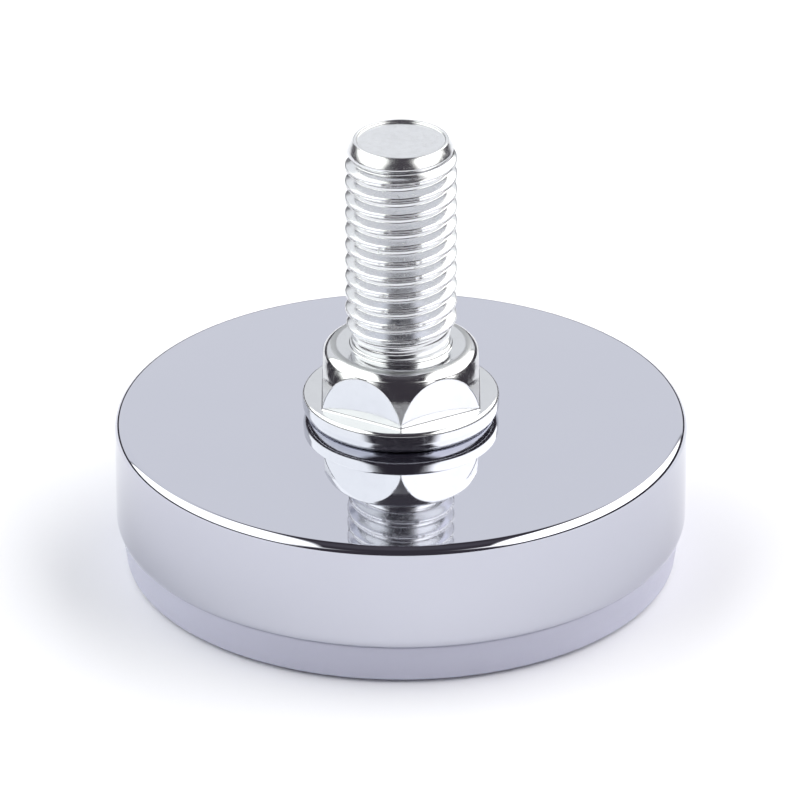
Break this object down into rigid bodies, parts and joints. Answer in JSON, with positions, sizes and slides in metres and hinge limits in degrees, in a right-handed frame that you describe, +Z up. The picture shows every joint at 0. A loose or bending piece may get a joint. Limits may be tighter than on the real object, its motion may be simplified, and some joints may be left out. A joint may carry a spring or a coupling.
{
  "type": "levelling foot",
  "caption": "Levelling foot: a threaded stud with a hexagon collar and flange turns freely in a round chromed cap on a tapered plastic base.",
  "frame": {"origin": "middle of the sole, on the floor that the foot stands on", "axes": "+Z up along the stud's axis; a corner of the hexagon points along -Y and another along +Y at rest"},
  "size_m": [0.05, 0.05, 0.04],
  "materials": {
    "chrome": "mirror-bright decorative chrome plating on pressed steel",
    "bright_zinc": "bright zinc plating on a cold-headed and rolled steel stud",
    "plain_steel": "plain stamped steel, lightly oiled",
    "pale_nylon": "moulded, pale lavender-grey, satin",
    "grey_rubber": "dark grey, matt"
  },
  "bodies": {
    "base": {"chrome_shell": "chrome", "plastic_base": "pale_nylon", "anti_slip_pad": "grey_rubber", "backing_plate": "plain_steel", "wave_washer": "plain_steel"},
    "stud": {"flanged_stud": "bright_zinc", "retaining_washer": "plain_steel"}
  },
  "joints": [
    {"name": "stud_turn", "type": "hinge", "parent": "base", "child": "stud", "pos_m": [0, 0, 0.0205], "axis": [0, 0, 1], "continuous": true}
  ]
}
